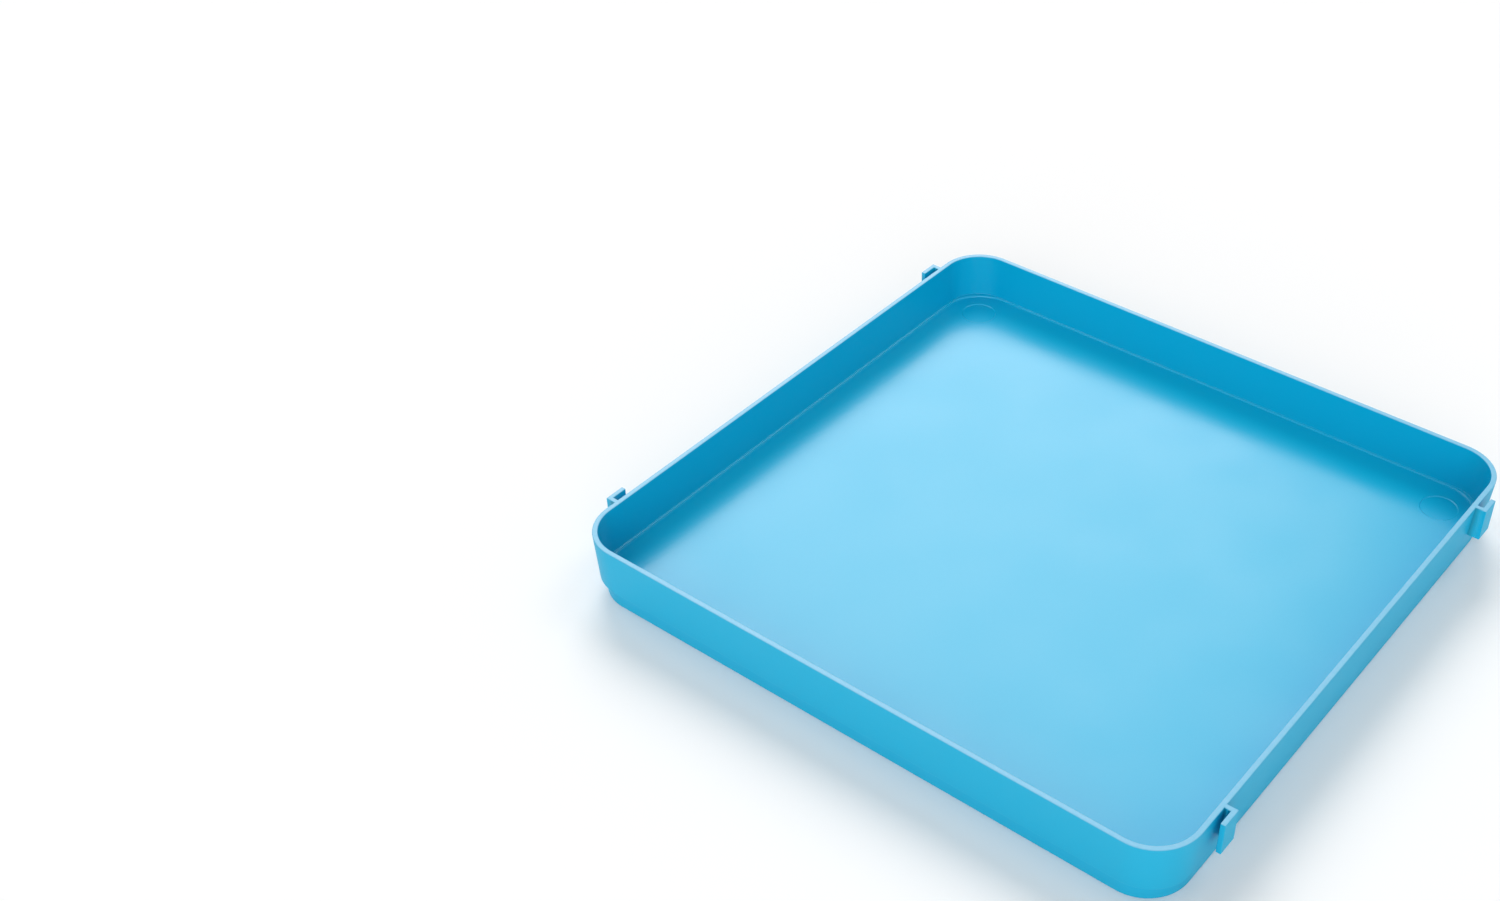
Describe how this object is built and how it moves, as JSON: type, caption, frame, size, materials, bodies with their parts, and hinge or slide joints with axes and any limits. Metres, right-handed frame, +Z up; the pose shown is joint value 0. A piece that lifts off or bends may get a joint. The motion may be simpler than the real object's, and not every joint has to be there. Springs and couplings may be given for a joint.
{
  "type": "jigsaw puzzle sorting tray",
  "caption": "Shallow square open tray with rounded corners, a raised floor, a nesting foot for stacking and L-shaped side hooks that link it to its neighbours.",
  "frame": {"origin": "centre of the footprint, on the surface that the foot stands on", "axes": "+Z up, +X out of one of the two sides with hooks, Y along those sides"},
  "size_m": [0.2028, 0.192, 0.0211],
  "materials": {
    "tray_plastic": "glossy"
  },
  "bodies": {
    "root": {"tray": "tray_plastic"}
  },
  "joints": []
}
